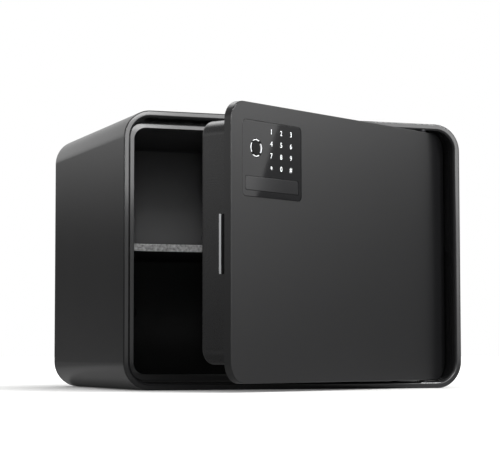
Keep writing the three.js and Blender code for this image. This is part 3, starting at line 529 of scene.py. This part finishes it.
def makeRim():
    # band, recess wall and recess floor are one sheet, rolled over from the band
    c = cabinet
    mouth = c["band"] + c["roundOver"]
    rim = roundedSheet("frontRim", c["box"], 0, c["corner"], c["steps"])
    choose(rim, "FACE", everyFace)
    bpy.ops.mesh.inset(thickness=mouth * mm)
    pull(c["channelDepth"])
    bpy.ops.mesh.inset(thickness=c["channelFloor"] * mm)
    bpy.ops.mesh.delete(type="FACE")
    leaveEdit()
    choose(rim, "EDGE", outlineEdges(0, c["box"], c["corner"]))
    pull(c["bandDepth"])
    leaveEdit()
    bevelled(rim, c["outerEdge"], 3, outlineEdges(0, c["box"], c["corner"]))
    bevelled(rim, c["roundOver"], 8, outlineEdges(0, c["box"], c["corner"], mouth))
    leanOut(rim, c["box"], c["corner"], c["outerEdge"], c["leanDepth"], c["lean"])
    faceFront(rim, c["lean"] / 2)
    thickened(rim, c["rimSheet"])
    place(rim, cabinetPlace)
    return finish(rim, rimCoat, "cabinet", ["front_rim"])


lip = {"inset": 10.2, "steps": 16, "width": 6.8, "setback": 18.5, "thick": 3, "webEnd": 55, "sheet": 1.5,
       "edge": 0.5, "webEdge": 0.5, "lean": 0.42, "leanDepth": 1, "endX": 149.7,
       "slot": (-192, -187, 116.9, 179.5), "slotFront": 21.9, "slotBack": 27.2}


def makeLip():
    # the strike frame's lip and the web behind it; it ends before the hinge side
    c = lip
    box = shrunk(cabinet["box"], c["inset"])
    radius = cabinet["corner"] - c["inset"]
    frameRing = roundedSheet("strikeLip", box, c["setback"], radius, c["steps"])
    choose(frameRing, "FACE", everyFace)
    bpy.ops.mesh.inset(thickness=c["width"] * mm)
    pull(c["thick"])
    bpy.ops.mesh.delete(type="FACE")
    leaveEdit()
    choose(frameRing, "EDGE", outlineEdges(c["setback"], box, radius))
    pull(c["webEnd"] - c["setback"])
    leaveEdit()
    bevelled(frameRing, c["edge"], 4, outlineEdges(c["setback"], box, radius, c["width"]))
    bevelled(frameRing, c["webEdge"], 2, outlineEdges(c["setback"], box, radius))
    leanOut(frameRing, box, radius, c["webEdge"], c["setback"] + c["leanDepth"], c["lean"])
    faceFront(frameRing, c["setback"] + c["lean"] / 2)
    thickened(frameRing, c["sheet"])
    choose(frameRing, "FACE", everyFace)
    bpy.ops.mesh.bisect(plane_co=(c["endX"] * mm, 0, 0), plane_no=(1, 0, 0), use_fill=True, clear_outer=True)
    leaveEdit()
    cutAway(frameRing, block("strikeDrill", c["slot"], c["slotFront"], c["slotBack"]))
    place(frameRing, cabinetPlace)
    return finish(frameRing, rimCoat, "cabinet", ["strike_frame"])


liner = {"box": (-191, 191, 9, 291), "corner": 21, "steps": 16, "front": 45, "back": 281.2, "wall": 1.2,
         "fold": 2.5, "foldSteps": 3, "anchorHeight": 90, "backDrill": 4, "baseDrill": (6, 14)}


def makeLiner():
    c = liner
    shell = openTray("innerLiner", c)
    drills = [rod("backDrill", cabinet["anchorRadius"], x, c["anchorHeight"],
                  c["back"] - c["backDrill"], c["back"] + c["backDrill"]) for x in anchorPlaces()]
    drills += [upright("baseDrill", cabinet["anchorRadius"], x, cabinet["depth"] / 2, *c["baseDrill"])
               for x in anchorPlaces()]
    cutAway(shell, *drills)
    place(shell, cabinetPlace)
    return finish(shell, linerEnamel, "cabinet", ["inner_liner"])


shelf = {"box": (-188.8, 188.8, 152, 160), "front": 60, "back": 277, "boardEdge": 0.5,
         "felt": 1.5, "feltEdge": 1.2}


def makeShelf():
    # the felt is glued over the board's top and folded down its front edge
    c = shelf
    left, right, bottom, top = c["box"]
    board = block("shelfBoard", (left, right, bottom, top - c["felt"]), c["front"] + c["felt"], c["back"])
    bevelled(board, c["boardEdge"], 2, lambda a, b: True)
    place(board, cabinetPlace)
    finish(board, linerEnamel, "shelf", ["shelf_board"])
    felt = block("shelfFelt", c["box"], c["front"], c["back"])
    cleared(felt, lambda middle, n: n.y > facing or n.z < -facing or abs(n.x) > facing)
    atFront = edgesAt(c["front"])
    bevelled(felt, c["feltEdge"], 4, lambda a, b: atFront(a, b)
             and abs(a.z - top) < close and abs(b.z - top) < close)
    thickened(felt, c["felt"])
    place(felt, cabinetPlace)
    return finish(felt, shelfFelt, "shelf", ["shelf_felt"])


casing = makeCasing()
makeRim()
makeLip()
makeLiner()
makeShelf()
print("cabinet modelled")


# Door

door = {"box": (0, 381.6, 9.2, 290.8), "corner": 20.8, "steps": 20, "thick": 8.5, "sheet": 2, "edge": 1.0,
        "panelHole": (17.8, 114, 195.4, 272.9), "panelHoleCorner": 5.4, "panelHoleSteps": 10,
        "pinRadius": 2.3, "pinHoles": (5, 286), "drillStart": -2, "drillLength": 8}


def makeDoorPlate():
    # a folded sheet with round corners; the keypad's opening and the pins' holes are cut last
    c = door
    plate = roundedSheet("doorPlate", c["box"], 0, c["corner"], c["steps"])
    choose(plate, "EDGE", outlineEdges(0, c["box"], c["corner"]))
    pull(c["thick"])
    leaveEdit()
    bevelled(plate, c["edge"], 4, outlineEdges(0, c["box"], c["corner"]))
    faceFront(plate, 0)
    thickened(plate, c["sheet"])
    hole = roundedSlab("panelDrill", c["panelHole"], c["drillStart"], c["drillLength"], c["panelHoleCorner"],
                       c["panelHoleSteps"])
    drills = [upright("pinDrill", c["pinRadius"], doorHinge["along"], doorHinge["y"], z, z + c["drillLength"])
              for z in c["pinHoles"]]
    cutAway(plate, hole, *drills)
    place(plate, doorPlace)
    return finish(plate, doorCoatShaded, "door", ["door_front_plate"])


cover = {"box": (17, 364.6, 27.8, 275.4), "corner": 17, "steps": 14, "front": 8.8, "back": 54, "wall": 1.5,
         "fold": 4, "foldSteps": 6, "boltSlot": (15, 20, 117.8, 178.6), "boltSlotFront": 22.8,
         "boltSlotBack": 26.3, "window": (241.1, 296.1, 56.7, 119.7), "button": (187.6, 187.8),
         "buttonHole": 4.3, "screws": ((30, 41.2), (351.6, 41.2), (351.6, 258.8), (128, 258.8)),
         "screwHole": 1.8, "drillIn": 4, "drillOut": 2}


def makeCover():
    # the deep cover on the door's back, with openings for the bolt, the cells, the button and the screws
    c = cover
    shell = openTray("innerCover", c)
    start, end = c["back"] - c["drillIn"], c["back"] + c["drillOut"]
    drills = [block("boltDrill", c["boltSlot"], c["boltSlotFront"], c["boltSlotBack"]),
              block("windowDrill", c["window"], start, end),
              rod("buttonDrill", c["buttonHole"], *c["button"], start, end)]
    drills += [rod("screwDrill", c["screwHole"], x, z, start, end) for x, z in c["screws"]]
    cutAway(shell, *drills)
    place(shell, doorPlace)
    return finish(shell, moulded, "door", ["door_inner_cover"])


makeDoorPlate()
makeCover()
print("door modelled")


# Keypad

panel = {"box": (18.2, 113.6, 195.8, 272.5), "corner": 5, "steps": 10, "front": 0.2, "thick": 1.8,
         "edge": 0.25,
         "strip": (23, 109.2, 201.9, 216.5), "stripGap": 0.42, "stripCorner": 1.8, "stripSteps": 6,
         "drillStart": -2, "drillLength": 8, "ringHole": 9.6, "ringSides": 72,
         "pegs": (30, 102.2), "pegHeight": 209.2, "pegRadius": 1.5, "pegSides": 24, "pegEnds": (1.9, 6.5)}
reader = {"middle": (40.2, 245.2), "outer": 8.8, "inner": 8.05, "front": 0.15, "back": 2.0, "arc": 64,
          "slice": 0.01, "arcEdge": 0.12, "arcSteps": 20, "sides": 72, "sensor": 6.6, "sensorFront": 0.5,
          "sensorEdge": 0.4, "seat": 9.1, "seatThick": 0.5, "seatGap": 0.02,
          "seatHole": 6.5, "seatDrill": (0, 6)}


def makePanel():
    c = panel
    glass = roundedSlab("keypadPanel", c["box"], c["front"], c["thick"], c["corner"], c["steps"])
    bevelled(glass, c["edge"], 2, edgesAt(c["front"]))
    hole = roundedSlab("stripDrill", c["strip"], c["drillStart"], c["drillLength"], c["stripCorner"],
                       c["stripSteps"])
    ring = rod("ringDrill", c["ringHole"], *reader["middle"], c["drillStart"],
               c["drillStart"] + c["drillLength"], c["ringSides"])
    cutAway(glass, hole, ring)
    place(glass, doorPlace)
    return finish(glass, hardGlass, "door", ["keypad_glass"])


def makeStrip():
    # the strip that hides the key slot, with its two pegs
    c = panel
    strip = roundedSlab("overrideStrip", shrunk(c["strip"], c["stripGap"]), c["front"], c["thick"],
                        c["stripCorner"], c["stripSteps"])
    bevelled(strip, c["edge"], 2, edgesAt(c["front"]))
    joined([strip] + [rod("peg", c["pegRadius"], x, c["pegHeight"], *c["pegEnds"], c["pegSides"])
                      for x in c["pegs"]])
    place(strip, doorPlace)
    return finish(strip, stripPlastic, "cover_strip", ["override_cover"])


def makeArc(turn):
    # a thin slice of the ring's cross-section, spun round the reader
    c = reader
    x, z = c["middle"]
    section = block("readerArc", (c["inner"], c["outer"], -c["slice"], c["slice"]), c["front"], c["back"])
    atFront = edgesAt(c["front"])
    bevelled(section, c["arcEdge"], 2, lambda a, b: atFront(a, b) and abs(a.x - b.x) < close)
    cleared(section, lambda middle, normal: abs(normal.z) < facing)
    cleared(section, lambda middle, normal: normal.z < -facing)
    choose(section, "FACE", everyFace)
    bpy.ops.mesh.spin(steps=c["arcSteps"], angle=math.radians(c["arc"]), center=(0, 0, 0), axis=(0, 1, 0))
    leaveEdit()
    place(section, Matrix.Translation((x * mm, 0, z * mm))
          @ Matrix.Rotation(math.radians(c["arc"] / 2 - turn), 4, "Y"))
    return section


def makeReader():
    c = reader
    x, z = c["middle"]
    ring = joined([makeArc(turn) for turn in (0, 90, 180, 270)])
    ring.name = "readerRing"
    faceOut(ring)
    place(ring, doorPlace)
    finish(ring, ringPrint, "door", ["sensor_light_ring"])
    # the dark window and the dark seat behind the arcs
    sensor = rod("readerWindow", c["sensor"], x, z, c["sensorFront"], c["back"], c["sides"])
    bevelled(sensor, c["sensorEdge"], 3, edgesAt(c["sensorFront"]))
    seat = rod("readerSeat", c["seat"], x, z,
               c["back"] - c["seatThick"], c["back"] - c["seatGap"], c["sides"])
    cutAway(seat, rod("readerDrill", c["seatHole"], x, z, *c["seatDrill"], c["sides"]))
    joined([sensor, seat])
    place(sensor, doorPlace)
    return finish(sensor, sensorGlass, "door", ["fingerprint_sensor"])


digits = {"rows": (263.6, 251.4, 239.1, 226.8), "columns": (64.4, 80.4, 96.4),
          "signs": ("123", "456", "789", "*0#"), "type": 8.5, "height": 5.1, "starHeight": 0.75,
          "front": 0.14, "thick": 0.05}


def makeDigit(sign, x, z):
    c = digits
    bpy.ops.object.select_all(action="DESELECT")
    bpy.ops.object.text_add()
    letter = bpy.context.active_object
    letter.data.body = sign
    letter.data.size = c["type"] * mm
    letter.data.extrude = c["thick"] * mm / 2
    letter.data.resolution_u = 6
    bpy.ops.object.convert(target="MESH")
    corners = [Vector(v) for v in letter.bound_box]
    low = Vector((min(v.x for v in corners), min(v.y for v in corners), 0))
    high = Vector((max(v.x for v in corners), max(v.y for v in corners), 0))
    tall = c["height"] * mm * (c["starHeight"] if sign == "*" else 1.0)
    size = tall / (high.y - low.y)
    place(letter, Matrix.Translation((x * mm, c["front"] * mm, z * mm))
          @ Matrix.Rotation(math.pi / 2, 4, "X") @ Matrix.Scale(size, 4, (1, 0, 0))
          @ Matrix.Scale(size, 4, (0, 1, 0)) @ Matrix.Translation(-(low + high) / 2))
    return letter


def makeDigits():
    c = digits
    keys = joined([makeDigit(sign, x, z) for z, row in zip(c["rows"], c["signs"])
                   for x, sign in zip(c["columns"], row)])
    keys.name = "keypadDigits"
    place(keys, doorPlace)
    return finish(keys, lightPrint, "door")


makePanel()
makeStrip()
makeReader()
makeDigits()
print("keypad modelled")


# The pieces that keep their CAD shape: their finish, the width of their softened edges, and their nodes.
dressed = (
    (powderCoat, 0.5, "back_panel"),
    (matFelt, 0.5, "floor_mat"),
    (linerEnamel, 0.4, "shelf_ledge_left", "shelf_ledge_right"),
    (blackMoulded, 0.4, "back_anchor_grommet_left", "back_anchor_grommet_right",
     "base_anchor_grommet_left", "base_anchor_grommet_right"),
    (blackZinc, 0.3, "hinge_pin_top", "hinge_pin_bottom"),
    (rubberBlack, 0.6, "stop_bumper_top", "stop_bumper_bottom"),
    (doorCoatShaded, 0.3, "door_back_sheet"),
    (blackZinc, 0.4, "pivot_block_top", "pivot_block_bottom"),
    (zincPlate, 0.4, "cover_screw_1", "cover_screw_2", "cover_screw_3", "cover_screw_4"),
    (zincPlate, 0.3, "mechanism_plate", "bolt_stop_pin", "bolt_guide_upper", "bolt_guide_lower"),
    (zincPlate, 0.25, "motor_bracket"),
    (turnedBrass, 0.4, "gearbox_case"),
    (zincPlate, 0.5, "motor_can"),
    (blackMoulded, 0.3, "keypad_housing"),
    (solderMask, 0.2, "keypad_board"),
    (turnedBrass, 0.25, "lock_cylinder"),
    (blackMoulded, 0.2, "backup_power_port"),
    (solderMask, 0.2, "control_board"),
    (ribbonJacket, 0.1, "ribbon_cable"),
    (blackMoulded, 0.4, "battery_box"),
    (shrinkSleeve, 0.6, "battery_cell_1", "battery_cell_2", "battery_cell_3", "battery_cell_4"),
    (groundSteel, 0.25, "bolt_plate"),
    (turnedBrass, 0.08, "drive_pinion"),
    (zincPlate, 0.25, "key_plug"),
    (zincPlate, 0.3, "key_cam"),
    (moulded, 0.4, "battery_lid"),
    (redMoulded, 0.4, "reset_button"),
)
dressing = {"weld": 0.002, "flat": 0.5, "sharp": 40}  # millimetres, then degrees


def dressNode(name, material, edge, body):
    piece = bpy.data.objects.new(name + "_finished", frame["nodes"][name].data.copy())
    bpy.context.scene.collection.objects.link(piece)
    editWhole(piece)
    bpy.ops.mesh.remove_doubles(threshold=dressing["weld"] * mm)
    bpy.ops.mesh.dissolve_limited(angle_limit=math.radians(dressing["flat"]))
    leaveEdit()
    applied(piece, "BEVEL", width=edge * mm, segments=2, limit_method="ANGLE",
            angle_limit=math.radians(dressing["sharp"]), use_clamp_overlap=True, miter_outer="MITER_ARC")
    finish(piece, material, body, [name])


def dressNodes():
    homes = {n: b for b, members in frame["record"]["behaviour"]["bodies"].items() for n in members}
    for material, edge, *names in dressed:
        for name in names:
            dressNode(name, material, edge, homes[name])


dressNodes()
print("small pieces dressed")


# Floor, light and world, in metres

# The floor's painted glow and painted bounce change from near to far of the object: the glow is weak round
# it, so the shade there is partly cast and partly painted, and the bounce is a painted pool of light near it;
# rise is the dome's level by height.
stage = {"size": 60, "floor": "#f4f4f3", "near": 0.22, "far": 0.5, "paintedGlowNear": 0.08, "paintedGlowFar": 1.0,
         "paintedBounceNear": 0.58, "paintedBounceFar": 0.21,
         "rise": ((0, 0.12), (0.035, 0.08), (0.07, 0.07), (0.105, 0.26), (0.14, 0.64), (0.2, 0.76),
                  (0.35, 0.58), (0.7, 0.4), (1.0, 0.1))}
# Panels: the middle, their width and height, how bright their skin is, and where they look if not along +Y.
lamps = {
    "rimFront": {"at": (0.55, -2.75, 0.671), "size": (1.4, 0.458), "glow": 5.2, "flagged": True},
    "rimUnder": {"at": (0.55, -2.75, 0.228), "size": (1.4, 0.416), "glow": 0.8, "flagged": True},
    "rimHigh": {"at": (0.275, -2.75, 1.1), "size": (0.85, 0.4), "glow": 12.0, "flagged": True},
    "rimHighRight": {"at": (0.975, -2.75, 1.1), "size": (0.55, 0.4), "glow": 6.0, "flagged": True},
    "rimRight": {"at": (1.7, -2.75, 0.875), "size": (0.9, 0.85), "glow": 4.8, "flagged": True},
    "rimMid": {"at": (1.7, -2.75, 0.325), "size": (0.9, 0.25), "glow": 3.3, "flagged": True},
    "rimLow": {"at": (1.7, -2.75, 0.11), "size": (0.9, 0.18), "glow": 2.0, "flagged": True},
    "overFront": {"at": (-0.9, -1.7, 2.3), "to": (0, -0.1, 0.1), "size": (1.8, 1.0), "glow": 1.5},
    "overRight": {"at": (1.39, -1.75, 1.7), "to": (0.17, -0.146, 0.006), "size": (0.2, 1.5), "glow": 46.0,
                  "flagged": True},
    "backHigh": {"at": (-0.2, 2.2, 2.6), "to": (-0.1, 0, 0.2), "size": (2.4, 1.2), "glow": 3.0},
    "keyEdge": {"at": (2.2, -0.913, 0.805), "to": (0, -0.913, 0.805), "size": (0.7, 1.4), "glow": 1.2,
                "roll": -16.6},
    "right": {"at": (2.6, -0.6, 1.27), "to": (0, -0.6, 1.27), "size": (0.5, 1.1), "glow": 3.3},
    "left": {"at": (-2.6, 0.0, 0.8), "to": (0, 0.0, 0.8), "size": (1.4, 1.0), "glow": 0.6},
    "leftFront": {"at": (-2.4, -1.6, 0.7), "to": (-0.1, -0.2, 0.1), "size": (1.0, 1.0), "glow": 0.4},
}
# A column of small snoots that shine past the open door onto the wall above the shelf.
snoots = {"x": -0.72, "y": -1.9, "heights": (0.16, 0.3, 0.44, 0.58, 0.72, 0.86), "to": (-0.141, -0.1, 0.235),
          "cone": 5.1, "power": (15, 8, 9.5, 12.5, 21, 14), "size": 0.05}


def byDistance(tree, nearValue, farValue):
    # a value that changes with the distance from the middle of the floor
    spot = add(tree, "ShaderNodeTexCoord")
    away = add(tree, "ShaderNodeVectorMath", {"operation": "LENGTH"}, Vector=(spot, "Object"))
    return add(tree, "ShaderNodeMapRange", {"From Min": stage["near"], "From Max": stage["far"],
                                            "To Min": nearValue, "To Max": farValue}, Value=(away, "Value"))


def splitByEye(tree, seen, thrown):
    # what the camera sees directly, and what lights and mirrors get
    path = add(tree, "ShaderNodeLightPath")
    pick = add(tree, "ShaderNodeMixShader")
    tree.links.new(path.outputs["Is Camera Ray"], pick.inputs[0])
    tree.links.new(thrown.outputs[0], pick.inputs[1])
    tree.links.new(seen.outputs[0], pick.inputs[2])
    return pick


def makeStage():
    # the eye sees the floor white through a painted glow; what it throws back at the safe is a painted
    # bounce, bright near the safe and weaker further out
    bpy.ops.object.select_all(action="DESELECT")
    bpy.ops.mesh.primitive_plane_add(size=stage["size"], location=(0, 0, 0))
    floor = bpy.context.active_object
    floor.name = "studioFloor"
    material, tree = blankMaterial("pale_studio_floor")
    # painted glow: the floor glows white away from the safe and hardly at all round it, which leaves painted
    # shade there
    seen = add(tree, "ShaderNodeBsdfPrincipled", {"Base Color": toLinear(stage["floor"]), "Roughness": 0.9,
                                                  "Specular IOR Level": 0.0, "Emission Color": (1, 1, 1, 1)},
               Emission_Strength=(byDistance(tree, stage["paintedGlowNear"], stage["paintedGlowFar"]), "Result"))
    # painted bounce: the floor throws back more light near the safe than further out, a painted pool of light
    thrown = add(tree, "ShaderNodeBsdfPrincipled", {"Roughness": 0.9, "Specular IOR Level": 0.0},
                 Base_Color=(byDistance(tree, stage["paintedBounceNear"], stage["paintedBounceFar"]), "Result"))
    add(tree, "ShaderNodeOutputMaterial", Surface=(splitByEye(tree, seen, thrown), "Shader"))
    floor.data.materials.append(material)


def makeWorld():
    # a dome whose level changes with height, and plain white where the camera looks past the object
    world = bpy.data.worlds.new("studio")
    bpy.context.scene.world = world
    world.use_nodes = True
    tree = world.node_tree
    tree.nodes.clear()
    spot = add(tree, "ShaderNodeTexCoord")
    height = add(tree, "ShaderNodeSeparateXYZ", Vector=(spot, "Generated"))
    ramp = add(tree, "ShaderNodeValToRGB", Fac=(height, "Z"))
    for i, (position, level) in enumerate(stage["rise"]):
        stop = ramp.color_ramp.elements[i] if i < 2 else ramp.color_ramp.elements.new(position)
        stop.position = position
        stop.color = (level, level, level, 1)
    dome = add(tree, "ShaderNodeBackground", Color=(ramp, "Color"))
    white = add(tree, "ShaderNodeBackground", {"Color": (1, 1, 1, 1)})
    add(tree, "ShaderNodeOutputWorld", Surface=(splitByEye(tree, white, dome), "Shader"))
    bpy.context.scene.view_settings.view_transform = "Standard"


def makePanels():
    # the flagged panels don't reach the casing, so that its top stays dark when it is seen from behind
    flag = bpy.data.collections.new("flaggedOff")
    flag.objects.link(casing)
    flag.collection_objects[0].light_linking.link_state = "EXCLUDE"
    for name, c in lamps.items():
        x, y, z = c["at"]
        wide, tall = c["size"]
        bpy.ops.object.light_add(type="AREA", location=c["at"])
        lamp = bpy.context.active_object
        lamp.name = name + "Softbox"
        lamp.data.shape = "RECTANGLE"
        lamp.data.size = wide
        lamp.data.size_y = tall
        lamp.data.energy = math.pi * wide * tall * c["glow"]
        aim = Vector(c.get("to", (x, 0, z))) - Vector(c["at"])
        turn = aim.to_track_quat("-Z", "Y").to_matrix()
        lamp.rotation_euler = (turn @ Matrix.Rotation(math.radians(c.get("roll", 0)), 3, "Z")).to_euler()
        lamp.visible_camera = False
        if c.get("flagged"):
            lamp.light_linking.receiver_collection = flag


def makeSnoots():
    c = snoots
    for height, power in zip(c["heights"], c["power"]):
        at = (c["x"], c["y"], height)
        bpy.ops.object.light_add(type="SPOT", location=at)
        lamp = bpy.context.active_object
        lamp.name = "compartmentSnoot"
        lamp.data.spot_size = math.radians(c["cone"])
        lamp.data.spot_blend = 1.0
        lamp.data.shadow_soft_size = c["size"]
        lamp.data.energy = power
        lamp.rotation_euler = (Vector(c["to"]) - Vector(at)).to_track_quat("-Z", "Y").to_euler()


makeStage()
makeWorld()
makePanels()
makeSnoots()
print("stage lit")
